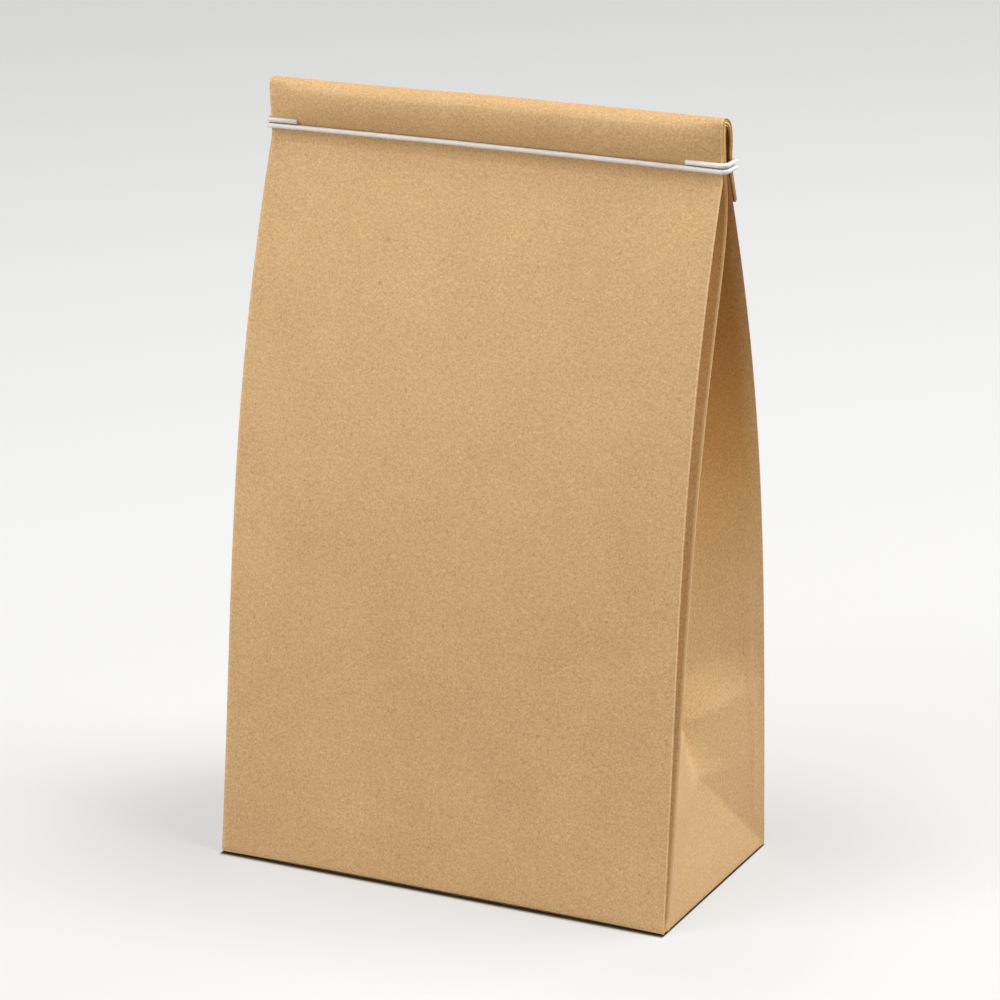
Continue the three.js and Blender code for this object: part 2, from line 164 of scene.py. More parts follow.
# Wear of the folds, with a painted highlight along their edges and a painted sheen, where 1 is a fold's edge
EDGE_WEAR_AND_HIGHLIGHT = 1.25
EDGE_WEAR_AND_HIGHLIGHT_FALL = 1.5  # for each millimetre in from the edge of a panel
# a painted sheen that lightens and pales the whole gusset
GUSSET_PAINTED_SHEEN = 0.1
# wear of the fold's crown, with a painted sheen along its top
CROWN_WEAR_AND_SHEEN = 0.12
CROWN_WEAR_AND_SHEEN_SPANS = (1.8, 3, 4)  # spans of the closure where the crown's wear and painted sheen start, are greatest and end

# Painted shade in the folds, for their shadow and the light bounced between their layers, where 0 is open and
# 1 is deep inside
DEEP_SHADE = 0.75  # in the upper gusset
DEEP_HEIGHTS = (55, 135)  # it grows between these heights
PRESSED_SHADE = 0.25  # where the fold is pressed flat
PRESSED_SPAN = 1.2  # span of the closure where it is
SLIT_SHADE = 0.24
SLIT_SHADE_GAIN = 0.4  # it grows by this
SLIT_SHADE_HEIGHTS = (110, 155)  # between these heights
SLIT_BOTTOM_SHARE = 1.2  # shares of the slit's shade
SLIT_WALL_SHARES = (1.1, 0.9)
RIDGE_SHARE = 0.8
REAR_EDGE_SHARE = 0.25  # shares of the gusset's shade
REAR_EDGE_REACH = 0.15
REAR_FOLD_SHARE = 0.1
INSIDE_SPANS = (0.3, 1)  # the back panel's layer goes inside the fold between these spans of the closure

# Fineness of the meshes
PANEL_STEP = 2.1  # between columns across a panel, away from its edges
EDGE_PLACES = (0.45, 0.51, 0.56, 0.6, 0.64, 0.7, 0.8, 1.1, 1.7, 2.8)  # columns beside a folded edge
FOLD_COLUMNS = 7
SLIT_COLUMNS = 5
GUSSET_COLUMNS = 24
FOOT_ROWS = 5
BEND_ROWS = 12
BODY_ROWS = 115
SPAN_ROWS = 14
ARCH_STEPS = 2
CURVE_STEPS = 1000  # along a panel's edge
TIE_SIDES = 20
TIE_BEND_STEPS = 10
TIE_RUN_STEPS = 60
SHARP_ANGLE = math.radians(55)  # faces that meet at more than this show an edge


def lerp(a, b, t):
    return a + (b - a) * t


def smoothstep(value, low, high):
    t = np.clip((value - low) / (high - low), 0, 1)
    return t * t * (3 - 2 * t)


def soft_min(a, b):
    """The smaller of two lengths, with a soft change from one to the other."""
    return a * b / np.cbrt(a ** 3 + b ** 3)


# Form of the bag


def panel_reach(lean, neck_lean, neck_reach):
    """A panel's edge seen from the side: its distance from the foot's mid plane as a function of height."""
    foot = np.array([BASE_DEPTH / 2, 0])
    neck = np.array([neck_reach, NECK_HEIGHT])
    lower = foot + LOWER_FULLNESS * NECK_HEIGHT * np.array([-math.sin(lean), math.cos(lean)])
    upper = neck - UPPER_FULLNESS * NECK_HEIGHT * np.array([-math.sin(neck_lean), math.cos(neck_lean)])
    t = np.linspace(0, 1, CURVE_STEPS)[:, None]
    s = 1 - t
    curve = s ** 3 * foot + 3 * s ** 2 * t * lower + 3 * s * t ** 2 * upper + t ** 3 * neck
    return lambda height: np.interp(height, curve[:, 1], curve[:, 0])


front_reach = panel_reach(FRONT_LEAN, FRONT_NECK_LEAN, NECK_FLARE - FRONT_FACE)
rear_reach = panel_reach(REAR_LEAN, REAR_NECK_LEAN, FRONT_FACE - NECK_FLARE + NECK_DEPTH)


def body_depth(height):
    return front_reach(height) + rear_reach(height)


def body_middle(height):
    return (rear_reach(height) - front_reach(height)) / 2


def pleat_width(depth, height):
    """Width of the narrow pleat behind the front edge."""
    return soft_min(lerp(PLEAT_FOOT, PLEAT_NECK, height / NECK_HEIGHT), PLEAT_SHARE * depth)


def slit_share(height):
    """Depth of the slit in the pleat against the pleat's width."""
    return lerp(SLIT_FOOT, SLIT_NECK, height / NECK_HEIGHT)


def folded_valley(depth, height):
    """Depth of the gusset's valley where it is fully folded: the sheet keeps its flat width."""
    pleat = pleat_width(depth, height)
    opening = depth - pleat
    share = slit_share(height)
    slit_sheet = pleat * (np.hypot(SLIT_PLACE, share) + np.hypot(1 - SLIT_PLACE, share))
    half_sheet = (GUSSET_SHEET - slit_sheet) / 2
    valley = np.sqrt(np.maximum(half_sheet ** 2 - (opening / 2) ** 2, 0))
    return soft_min(valley, VALLEY_CLOSING * opening)


def valley_place(height):
    """Place of the valley's line across the gusset: the middle at the foot and further forward above it."""
    return lerp(0.5, VALLEY_PLACE, np.minimum(height / FULL_FOLD_HEIGHT, 1))


def crease_heights(across):
    """Heights of the bottom fold's crease and of the soft crease above it at a place across the gusset."""
    return lerp(FACET_HEIGHT, APEX_HEIGHT, across), BEND_HEIGHT + BEND_RISE * (1 - across)


def gusset_inset(across, depth, height):
    """How far the gusset is pushed in at a place across it, from 0 at its edges to 1 at the valley's line.

    Near the foot the bottom fold's creases shape it: the triangle, the upright facets beside it, the leaning
    facets above it up to the soft crease, and steeper ones from there that ease into the full fold.
    """
    facet, bend = crease_heights(across)
    full_valley = folded_valley(body_depth(FULL_FOLD_HEIGHT), FULL_FOLD_HEIGHT)
    foot = APEX_DEPTH * np.minimum(across, height / APEX_HEIGHT)
    lean = across * lerp(APEX_DEPTH, BEND_DEPTH, (height - facet) / (bend - facet))
    left = np.clip((FULL_FOLD_HEIGHT - height) / (FULL_FOLD_HEIGHT - bend), 0, 1) ** FOLD_EASE
    steep = across * lerp(full_valley, BEND_DEPTH, left)
    upper = across * folded_valley(depth, height)
    stretches = [height <= facet, height <= bend, height <= FULL_FOLD_HEIGHT]
    inset = np.select(stretches, [foot, lean, steep], upper)
    near_crease = np.where(height < bend, np.interp(height, [facet, bend], [0, 1]), left)
    swell = CREASE_BULGE * SWELL_SCALE * across ** 2 * (1 - across)
    return inset - swell * near_crease


def closure_path():
    """Up from the neck, over the fold and down the back to the mouth's edge: rows of thickness, y and z."""
    front_leg = FRONT_FACE - FOLD_BULGE + FOLD_THICKNESS / 2
    back_leg = BACK_FACE - FOLD_THICKNESS / 2
    mouth = TIE_HEIGHT - FLAP_DROP
    crown = lerp(front_leg, back_leg, CROWN_PLACE)
    top = TIE_HEIGHT + FOLD_RISE - FOLD_THICKNESS / 2
    arch = []
    turns = np.linspace(-math.pi / 2, math.pi / 2, 2 * ARCH_STEPS + 1)
    for step, turn in enumerate(turns):
        in_front = step < ARCH_STEPS
        reach = crown - front_leg if in_front else back_leg - crown
        drop = CROWN_ROUND if in_front else CROWN_FALL
        y = crown + reach * math.sin(turn)
        arch.append((FOLD_THICKNESS, y, top - drop * (1 - math.cos(turn))))
    below = NECK_HEIGHT - NECK_DROP
    points = np.array([
        (body_depth(below), body_middle(below), below),
        (NECK_DEPTH, body_middle(NECK_HEIGHT), NECK_HEIGHT),
        (PINCH_THICKNESS, FRONT_FACE + PINCH_THICKNESS / 2, PINCH_HEIGHT),
        *arch,
        (FLAP_THICKNESS, BACK_FACE - FLAP_THICKNESS / 2, PINCH_HEIGHT),
        (MOUTH_THICKNESS, rear_reach(mouth) + FLAP_STAND_OFF + MOUTH_THICKNESS / 2, mouth),
    ])
    return centripetal_curve(points, SPAN_ROWS)


def centripetal_curve(points, steps):
    """Places on a smooth curve through the points from the second on, and its directions and spans there."""
    p = np.concatenate([points, [2 * points[-1] - points[-2]]])
    gaps = np.sqrt(np.linalg.norm(np.diff(p, axis=0), axis=1))
    places = []
    directions = []
    spans = []
    for span in range(len(points) - 2):
        p0, p1, p2, p3 = p[span:span + 4]
        g0, g1, g2 = gaps[span:span + 3]
        leave = g1 * ((p1 - p0) / g0 - (p2 - p0) / (g0 + g1) + (p2 - p1) / g1)
        arrive = g1 * ((p2 - p1) / g1 - (p3 - p1) / (g1 + g2) + (p3 - p2) / g2)
        c2 = 3 * (p2 - p1) - 2 * leave - arrive
        c3 = 2 * (p1 - p2) + leave + arrive
        for step in range(1, steps + 1):
            t = step / steps
            places.append(p1 + t * (leave + t * (c2 + t * c3)))
            directions.append(leave + t * (2 * c2 + 3 * t * c3))
            spans.append(span + t)
    return np.array(places), np.array(directions), np.array(spans)


# Mesh of the bag: a grid of rows from the foot to the mouth and columns round the section


class Rows:
    """Every row at one place across the gusset. Near the foot the rows follow the bottom's creases."""

    closure, closure_along, closure_spans = closure_path()

    def __init__(self, across=0.0):
        facet, bend = crease_heights(across)
        body = np.concatenate([
            np.full(FOOT_ROWS, FOOT_TOP),
            np.linspace(FOOT_TOP, facet, GUSSET_COLUMNS + 1),
            np.linspace(facet, bend, BEND_ROWS + 1)[1:],
            np.linspace(bend, FULL_FOLD_HEIGHT, BEND_ROWS + 1)[1:],
            np.linspace(FULL_FOLD_HEIGHT, NECK_HEIGHT, BODY_ROWS + 1)[1:],
        ])
        count = len(self.closure)
        along = self.closure_along[:, 1:]
        along = along / np.linalg.norm(along, axis=1)[:, None]
        self.height = np.concatenate([body, np.full(count, NECK_HEIGHT)])
        self.depth = np.concatenate([body_depth(body), self.closure[:, 0]])
        self.y = np.concatenate([body_middle(body), self.closure[:, 1]])
        self.z = np.concatenate([body, self.closure[:, 2]])
        self.along_y = np.concatenate([np.zeros(len(body)), along[:, 0]])
        self.along_z = np.concatenate([np.ones(len(body)), along[:, 1]])
        pressed = np.concatenate([np.zeros(len(body)), np.minimum(self.closure_spans, 1)])
        self.open = 1 - PRESSED * pressed
        self.half_width = lerp(BASE_WIDTH, NECK_WIDTH, self.height / NECK_HEIGHT) / 2
        self.bulge = PANEL_BULGE * np.sin(math.pi * self.height / NECK_HEIGHT) ** 2

    def place(self, x, back):
        """Points of one column: across and back in its section, set square to the path."""
        return np.stack([x, self.y + back * self.along_z, self.z - back * self.along_y], axis=1)


EDGE = Rows()


def proud(x):
    """How far a panel stands ahead of the line between its folded edges."""
    to_edge = EDGE.half_width - np.abs(x)
    hairline = HAIRLINE_DEPTH * np.exp(-(((to_edge - HAIRLINE_PLACE) / HAIRLINE_WIDTH) ** 2))
    return EDGE.bulge * (1 - (x / EDGE.half_width) ** 2) - hairline


def panel_places(extra=()):
    """Distances of a panel's columns from its middle, from left to right, closer together at the edges."""
    half = BASE_WIDTH / 2
    inner = half - EDGE_PLACES[-1]
    count = round(2 * inner / PANEL_STEP)
    even = np.linspace(-inner, inner, count + 1)
    for places in extra:
        even = even[(even < min(places) - PANEL_STEP / 3) | (even > max(places) + PANEL_STEP / 3)]
        even = np.concatenate([even, places])
    edges = half - np.array(EDGE_PLACES[:-1])
    return np.sort(np.concatenate([-edges, even, edges]))


def place_in_panel(place):
    """A column's x in every row: beside an edge it keeps its distance from it, and it spreads in between."""
    half = BASE_WIDTH / 2
    inner = half - EDGE_PLACES[-1]
    shift = EDGE.half_width - half
    return place + np.clip(place / inner, -1, 1) * shift


def rounded(before, corner, after, reaches, count):
    """Points round a fold in every row: a short curve that leaves the corner by a reach on each side."""
    def towards(other, reach):
        away = other - corner
        length = np.linalg.norm(away, axis=1)[:, None]
        return corner + away / length * np.minimum(reach, ROUND_SHARE * length)

    start = towards(before, reaches[0])
    end = towards(after, reaches[1])
    ts = np.linspace(0, 1, count)
    return [(1 - t) ** 2 * start + 2 * t * (1 - t) * corner + t ** 2 * end for t in ts]


def fold_wear_and_sheen(count):
    """Wear and painted highlight of the columns round a fold, greatest at its middle."""
    return list(np.sin(np.linspace(0, math.pi, count)) ** 0.5)


def gusset_places():
    """Places across the gusset from its edge to the valley, so that the bottom's crease meets the grid."""
    t = np.arange(GUSSET_COLUMNS + 1) / GUSSET_COLUMNS
    return (FOOT_TOP + t * (FACET_HEIGHT - FOOT_TOP)) / (APEX_HEIGHT - t * (APEX_HEIGHT - FACET_HEIGHT))


def rim_mark(across, height):
    """Height of the old fold mark that runs up the lower gusset beside its rear edge."""
    near = max(0, 1 - abs(across - RIM_PLACE) / RIM_HALF_WIDTH)
    return RIM_BULGE * near * smoothstep(height, *RIM_FOOT) * (1 - smoothstep(height, *RIM_HEAD))


def right_side():
    """Columns round the right gusset from the front to the back panel: points, wear with painted highlight
    and sheen, and foot heights.
    """
    rows = EDGE
    half_depth = rows.depth / 2
    pleat = pleat_width(rows.depth, rows.height)
    slit = rows.open * slit_share(rows.height) * pleat * smoothstep(rows.height, 0, SLIT_RISE)

    def flat(inset, back):
        return np.stack([rows.half_width - inset, back], axis=1)

    zero = np.zeros_like(pleat)
    beside = np.full_like(pleat, EDGE_PLACES[0])
    beside_front = flat(beside, -half_depth - proud(rows.half_width - EDGE_PLACES[0]))
    front_edge = flat(zero, -half_depth)
    slit_line = flat(slit, SLIT_PLACE * pleat - half_depth)
    ridge = flat(zero, pleat - half_depth)
    rear_edge = flat(zero, half_depth)
    beside_back = flat(beside, half_depth + proud(rows.half_width - EDGE_PLACES[0]))

    valley = []
    places = gusset_places()
    for number, across in enumerate(np.concatenate([places, places[-2::-1]])):
        here = Rows(across)
        depth = here.depth
        start = pleat_width(depth, here.height) - depth / 2
        line = lerp(start, depth / 2, valley_place(here.height))
        back = lerp(start if number <= GUSSET_COLUMNS else depth / 2, line, across)
        x = here.half_width - here.open * gusset_inset(across, depth, here.height)
        if number > GUSSET_COLUMNS:
            x = x + rim_mark(across, here.height)
        valley.append((here, np.stack([x, back], axis=1)))

    columns = []

    def add(points, wear_and_sheen):
        for number, point in enumerate(points):
            columns.append((rows.place(point[:, 0], point[:, 1]), wear_and_sheen[number], CORNER_LIFT))

    sharp = (FOLD_REACH, FOLD_REACH)
    soft = (RIDGE_REACH, FOLD_REACH)
    add(rounded(beside_front, front_edge, slit_line, sharp, FOLD_COLUMNS), fold_wear_and_sheen(FOLD_COLUMNS))
    add(rounded(front_edge, slit_line, ridge, sharp, SLIT_COLUMNS), [0] * SLIT_COLUMNS)
    middle = [lerp(slit_line, ridge, t) for t in np.linspace(*SLIT_WALL, SLIT_COLUMNS)]
    add(middle, [0] * SLIT_COLUMNS)
    add(rounded(slit_line, ridge, valley[0][1], soft, FOLD_COLUMNS), fold_wear_and_sheen(FOLD_COLUMNS))
    for number, (here, point) in enumerate(valley[1:-1]):
        lift = CORNER_LIFT + SIDE_ARCH * math.sin(math.pi * (number + 1) / (len(valley) - 1))
        columns.append((here.place(point[:, 0], point[:, 1]), GUSSET_PAINTED_SHEEN, lift))
    add(rounded(valley[-1][1], rear_edge, beside_back, sharp, FOLD_COLUMNS), fold_wear_and_sheen(FOLD_COLUMNS))
    return columns


def front_panel():
    columns = []
    for place in panel_places():
        x = place_in_panel(place)
        lift = CORNER_LIFT + FOOT_ARCH * (1 - (2 * place / BASE_WIDTH) ** 4)
        # the folded edge's wear and its painted highlight fade in from the edge
        wear_and_sheen = max(0, EDGE_WEAR_AND_HIGHLIGHT - EDGE_WEAR_AND_HIGHLIGHT_FALL * (BASE_WIDTH / 2 - abs(place)))
        columns.append((EDGE.place(x, -EDGE.depth / 2 - proud(x)), wear_and_sheen, lift))
    return columns


def back_panel():
    """The back panel from right to left, with the lap of the glued seam."""
    near = SEAM_LAP / 2
    lap = [near, near - SEAM_TELEGRAPH / 3, near - 2 * SEAM_TELEGRAPH / 3, near - SEAM_TELEGRAPH]
    cut = [-near + SEAM_MARGIN, -near, -near - SEAM_EDGE, -near - SEAM_MARGIN]
    rise = smoothstep(EDGE.height, 0, SEAM_RISE)
    columns = []
    for place in panel_places((lap, cut))[::-1]:
        x = place_in_panel(place)
        step = SEAM_THICKNESS * rise * float(smoothstep(-place, -near, SEAM_TELEGRAPH - near))
        if place < -near - SEAM_EDGE / 2:
            step = 0 * rise
        columns.append((EDGE.place(x, EDGE.depth / 2 + proud(x) + step), 0, CORNER_LIFT))
    return columns


def mirrored(columns):
    flip = np.array([-1, 1, 1])
    return [(points * flip, wear_and_sheen, foot) for points, wear_and_sheen, foot in reversed(columns)]


def shape_foot(points, feet):
    """Turns the lowest rows in under the bag, as the rounded fold round the foot."""
    for row in range(FOOT_ROWS):
        angle = math.pi / 2 * row / FOOT_ROWS
        inward = FOOT_FOLD * (1 - math.sin(angle))
        points[row, :, 0] *= 1 - inward / (BASE_WIDTH / 2)
        points[row, :, 1] *= 1 - inward / (BASE_DEPTH / 2)
        points[row, :, 2] = feet + (FOOT_TOP - feet) * (1 - math.cos(angle))


def shape_fold(points):
    """Lets the fold's left end lie a little lower, swells its front and hollows the panel under the tie."""
    x, y, z = points.transpose(2, 0, 1)
    lift = np.clip((z - TIE_HEIGHT) / FOLD_RISE, 0, 1)
    tilted = z + FOLD_TILT * lift * (smoothstep(x, *TILT_PLACES) - 0.5)

    body_rows = len(points) - len(Rows.closure_spans)
    front_leg = np.interp(Rows.closure_spans, FRONT_LEG_SPANS, [0, 1, 1, 0])
    front_leg = np.concatenate([np.zeros(body_rows), front_leg])[:, None]
    risen = np.clip((z - PINCH_HEIGHT) / (TIE_HEIGHT + FOLD_RISE - PINCH_HEIGHT), 0, 1)
    end = np.minimum(np.abs(x) / (NECK_WIDTH / 2), 1) ** END_POWER
    belly = FOLD_BELLY * np.sin(math.pi * risen ** BELLY_EASE) * (1 - end)
    flattened = END_FLATTENING * FOLD_BULGE * np.minimum(risen / FLAT_RISE, 1) * end

    below = np.maximum(TIE_HEIGHT - TIE_DIAMETER / 4 - z, 0) / HOLLOW_DROP
    on_front = y < EDGE.y[:, None]
    hollow = NECK_HOLLOW * below * np.exp(1 - below) * (1 - end) * on_front
    points[:, :, 1] = y - front_leg * (belly - flattened) + hollow
    points[:, :, 2] = tilted


def grid_faces(points, rising, falling):
    """Faces of the grid; near the foot they are split along the crease that rises and falls there."""
    rows, columns = points.shape[:2]
    faces = []
    for row in range(rows - 1):
        in_foot = FOOT_ROWS <= row < FOOT_ROWS + GUSSET_COLUMNS
        for column in range(columns):
            a = row * columns + column
            b = row * columns + (column + 1) % columns
            c, d = b + columns, a + columns
            if in_foot and column in rising:
                faces += [(a, b, c), (a, c, d)]
            elif in_foot and column in falling:
                faces += [(a, b, d), (b, c, d)]
            else:
                faces.append((a, b, c, d))
    return faces


def make_paper_bag():
    front = front_panel()
    right = right_side()
    back = back_panel()
    columns = front + right + back + mirrored(right)
    points = np.stack([column[0] for column in columns], axis=1)
    wear_and_sheen = np.array([column[1] for column in columns], dtype=float)
    feet = np.array([column[2] for column in columns], dtype=float)
    shape_foot(points, feet)
    shape_fold(points)

    rows, count = points.shape[:2]
    before_valley = 2 * FOLD_COLUMNS + 2 * SLIT_COLUMNS
    right_start = len(front) + before_valley - 1
    right_valley = right_start + GUSSET_COLUMNS
    left_start = len(front) + len(right) + len(back) + FOLD_COLUMNS - 1
    left_valley = left_start + GUSSET_COLUMNS
    rising = set(range(right_start, right_valley)) | set(range(left_start, left_valley))
    falling = set(range(right_valley, right_valley + GUSSET_COLUMNS))
    falling |= set(range(left_valley, left_valley + GUSSET_COLUMNS))
    faces = grid_faces(points, rising, falling)
    faces.append(tuple(range((rows - 1) * count, rows * count)))

    vertices = points.reshape(-1, 3)
    vertices, bottom = bottom_flaps(vertices, len(front), len(right), len(back))
    faces += bottom
    mesh = bpy.data.meshes.new("paper_bag_sheet")
    mesh.from_pydata((vertices * MM).tolist(), [], faces)
    mesh.validate()
    add_wear_and_sheen(mesh, wear_and_sheen, rows)
    # Painted shade: a darker, warmer colour deep in the gussets and slits and on the layers inside the fold
    side_shade = painted_right_shade()
    front_shade = np.zeros((rows, len(front)))
    inside = np.zeros(rows)
    inside[-len(Rows.closure_spans):] = smoothstep(Rows.closure_spans, *INSIDE_SPANS)
    back_shade = np.repeat(inside[:, None], len(back), axis=1)
    shades = [front_shade, side_shade, back_shade, side_shade[:, ::-1]]
    add_values(mesh, "painted_fold_shade", np.concatenate(shades, axis=1))
    return add_object("paper_sheet", mesh)


def painted_right_shade():
    """Painted shade on the right gusset, from 0 in the open to 1 deep inside a fold, for the shadow and the
    light bounced between the paper in its folds.
    """
    body_rows = len(EDGE.z) - len(Rows.closure_spans)
    deep = DEEP_SHADE * smoothstep(EDGE.z[:body_rows], *DEEP_HEIGHTS)
    pressed = np.interp(Rows.closure_spans, [0, PRESSED_SPAN], [DEEP_SHADE, PRESSED_SHADE])
    deep = np.concatenate([deep, pressed])[:, None]
    slit = (SLIT_SHADE + SLIT_SHADE_GAIN * smoothstep(EDGE.z, *SLIT_SHADE_HEIGHTS))[:, None]
    turn = FOLD_COLUMNS // 2
    slit_columns = np.concatenate([
        np.interp(np.arange(FOLD_COLUMNS), [turn, FOLD_COLUMNS - 1], [0, 1]),
        np.full(SLIT_COLUMNS, SLIT_BOTTOM_SHARE), np.linspace(*SLIT_WALL_SHARES, SLIT_COLUMNS),
        np.interp(np.arange(FOLD_COLUMNS), [0, turn], [RIDGE_SHARE, 0]),
        np.zeros(2 * GUSSET_COLUMNS - 1 + FOLD_COLUMNS),
    ])
    rear_half = np.interp(gusset_places()[-2:0:-1], [0, REAR_EDGE_REACH], [REAR_EDGE_SHARE, 1])
    gusset_columns = np.concatenate([
        np.zeros(2 * FOLD_COLUMNS + 2 * SLIT_COLUMNS), np.ones(GUSSET_COLUMNS), rear_half,
        np.full(FOLD_COLUMNS, REAR_FOLD_SHARE),
    ])
    return slit * slit_columns + deep * gusset_columns


def bottom_flaps(vertices, front, right, back):
    """Closes the foot: the outer flap lies on the inner one, and both lie on the tucked side triangles."""
    tuck = (BASE_WIDTH - BASE_DEPTH) / 2
    tip = tuck - BOTTOM_LAP
    outline = [(tuck, 0), (tip, -BOTTOM_LAP), (-tip, -BOTTOM_LAP), (-tuck, 0)]
    start = len(vertices)
    extra = [(x, y, z) for z in (0, BOTTOM_THICKNESS) for x, y in outline]
    extra += [(tuck, 0, 2 * BOTTOM_THICKNESS), (-tuck, 0, 2 * BOTTOM_THICKNESS)]
    outer = [start + number for number in range(4)]
    inner = [start + 4 + number for number in range(4)]
    right_tuck, left_tuck = start + 8, start + 9

    total = front + 2 * right + back
    turn = FOLD_COLUMNS - 1
    front_left = total - 1 - turn
    front_right = front + turn
    rear_right = front + right - FOLD_COLUMNS
    rear_right_end = front + right - 1
    rear_left = front + right + back
    rear_left_end = rear_left + turn

    def ring(first, last):
        return [column % total for column in range(first, last + 1)]

    faces = [
        ring(rear_right_end, rear_left) + outer[::-1],
        ring(total - 1, total + front) + inner,
        ring(front_right, rear_right) + [right_tuck],
        ring(rear_left_end, front_left) + [left_tuck],
        ring(front, front_right) + [right_tuck, inner[0]],
        ring(rear_right, rear_right_end) + [outer[0], inner[0], right_tuck],
        ring(rear_left, rear_left_end) + [left_tuck, inner[3], outer[3]],
        ring(front_left, total - 1) + [inner[3], left_tuck],
    ]
    for number in range(3):
        faces.append([inner[number], inner[number + 1], outer[number + 1], outer[number]])
    return np.concatenate([vertices, np.array(extra)]), [tuple(face[::-1]) for face in faces]


def add_wear_and_sheen(mesh, wear_and_sheen, rows):
    """Marks the folded edges, where the paper's fibres are broken and lighter, with a painted highlight along
    them and a painted sheen on the crown; the gusset's painted sheen comes with its columns.
    """
    grid = np.repeat(wear_and_sheen[None, :], rows, axis=0)
    for row in range(FOOT_ROWS):
        grid[row] = np.maximum(grid[row], math.sin(math.pi * row / FOOT_ROWS) ** 2)
    crown = np.interp(Rows.closure_spans, CROWN_WEAR_AND_SHEEN_SPANS, [0, CROWN_WEAR_AND_SHEEN, 0])[:, None]
    grid[-len(crown):] = np.maximum(grid[-len(crown):], crown)
    add_values(mesh, "fold_wear_and_sheen", grid)


def add_values(mesh, name, grid):
    """Stores one value for each point of the sheet's grid."""
    values = np.zeros(len(mesh.vertices), dtype=np.float32)
    values[:grid.size] = grid.ravel()
    mesh.attributes.new(name, "FLOAT", "POINT").data.foreach_set("value", values)


def add_object(name, mesh):
    for polygon in mesh.polygons:
        polygon.use_smooth = True
    mesh.set_sharp_from_angle(angle=SHARP_ANGLE)
    piece = bpy.data.objects.new(name, mesh)
    bpy.context.scene.collection.objects.link(piece)
    return piece


# Mesh of the tie


def tie_route():
    """From the left tab round the fold's end to a hairpin behind, across the front, and the same mirrored."""
    reach = TIE_GAP + TIE_DIAMETER / 2
    side = NECK_WIDTH / 2 + reach
    front = FRONT_FACE - reach
    back = BACK_FACE + reach
    tab = TIE_HEIGHT + TIE_PITCH
    hook = side - TIE_HOOK

    def half(hand, end):
        route = [
            (end, front, tab), (side, front, tab), (side, back, tab), (hook, back, tab),
            (hook, back, TIE_HEIGHT), (side, back, TIE_HEIGHT), (side, front, TIE_HEIGHT),
        ]
        return [Vector((hand * x, y, z)) for x, y, z in route]

    hairpin = TIE_PITCH / 2
    bends = [0, TIE_BEND, TIE_BEND, hairpin, hairpin, TIE_BEND, TIE_BEND]
    corners = half(-1, NECK_WIDTH / 2 - LEFT_TAB) + half(1, NECK_WIDTH / 2 - RIGHT_TAB)[::-1]
    return corners, bends + bends[::-1]


def tie_stations():
    """Places and directions along the wire, with its corners rounded."""
    corners, bends = tie_route()
    stations = [(corners[0], (corners[1] - corners[0]).normalized())]
    for number in range(1, len(corners) - 1):
        before = (corners[number] - corners[number - 1]).normalized()
        after = (corners[number + 1] - corners[number]).normalized()
        bend = bends[number]
        centre = corners[number] - before * bend + after * bend
        for step in range(TIE_BEND_STEPS + 1):
            angle = math.pi / 2 * step / TIE_BEND_STEPS
            at = centre + before * bend * math.sin(angle) - after * bend * math.cos(angle)
            along = before * math.cos(angle) + after * math.sin(angle)
            if (at - stations[-1][0]).length > TIE_DIAMETER / 100:
                stations += run_between(stations[-1], at)
                stations.append((at, along))
    stations.append((corners[-1], (corners[-1] - corners[-2]).normalized()))
    return stations


def run_between(last, at):
    """Extra stations on the long run across the front."""
    start, along = last
    if (at - start).length < NECK_WIDTH / 2:
        return []
    return [(start.lerp(at, step / TIE_RUN_STEPS), along) for step in range(1, TIE_RUN_STEPS)]


def crowned(point):
    across = min(abs(point.x) / (NECK_WIDTH / 2), 1)
    return point + Vector((0, 0, TIE_CROWN * (1 - across ** 2)))


def make_tie():
    stations = tie_stations()
    first, last = stations[0], stations[-1]
    bevel = TIE_CUT_BEVEL
    stations = [first, (first[0] + first[1] * bevel, first[1])] + stations[1:-1]
    stations += [(last[0] - last[1] * bevel, last[1]), last]
    vertices = []
    side = Vector((0, 0, 1))
    for number, (at, along) in enumerate(stations):
        if number:
            side.rotate(stations[number - 1][1].rotation_difference(along))
        other = along.cross(side)
        is_end = number in (0, len(stations) - 1)
        radius = TIE_DIAMETER / 2 - (bevel if is_end else 0)
        for place in range(TIE_SIDES):
            angle = 2 * math.pi * place / TIE_SIDES
            offset = side * math.cos(angle) + other * math.sin(angle)
            vertices.append((crowned(at) + offset * radius) * MM)
    faces = []
    for ring in range(len(stations) - 1):
        for place in range(TIE_SIDES):
            a = ring * TIE_SIDES + place
            b = ring * TIE_SIDES + (place + 1) % TIE_SIDES
            faces.append((a, b, b + TIE_SIDES, a + TIE_SIDES))
    faces.append(tuple(reversed(range(TIE_SIDES))))
    faces.append(tuple(range(len(vertices) - TIE_SIDES, len(vertices))))
    mesh = bpy.data.meshes.new("tie_wire")
    mesh.from_pydata(vertices, [], faces)
    return add_object("tie_wire", mesh)


# Materials

KRAFT_TONES = ((0, (0.42, 0.24, 0.092)), (0.5, (0.61, 0.374, 0.163)), (1, (0.80, 0.53, 0.265)))
PAINTED_SHADE_TONES = (  # painted shade: what a fold's depth leaves of the colour
    (0, (1, 1, 1)), (0.4, (0.94, 0.83, 0.58)), (0.75, (0.79, 0.59, 0.22)), (1, (0.45, 0.22, 0.08)),
)
FLECK_COLOUR = (0.25, 0.13, 0.05, 1)
FLECK_SIGNAL = (0.73, 0.8)  # flecks show where their grain passes these
FLECK_STRENGTH = 0.35
WEAR_AND_SHEEN_LIGHTENING = 0.6
KRAFT_ROUGHNESS = (0.6, 0.66)
KRAFT_SPECULAR = 0.45
KRAFT_BUMP = {"Strength": 0.25, "Distance": 0.00005}
TIE_TONES = ((0.3, (0.70, 0.66, 0.615)), (0.7, (0.79, 0.755, 0.715)))
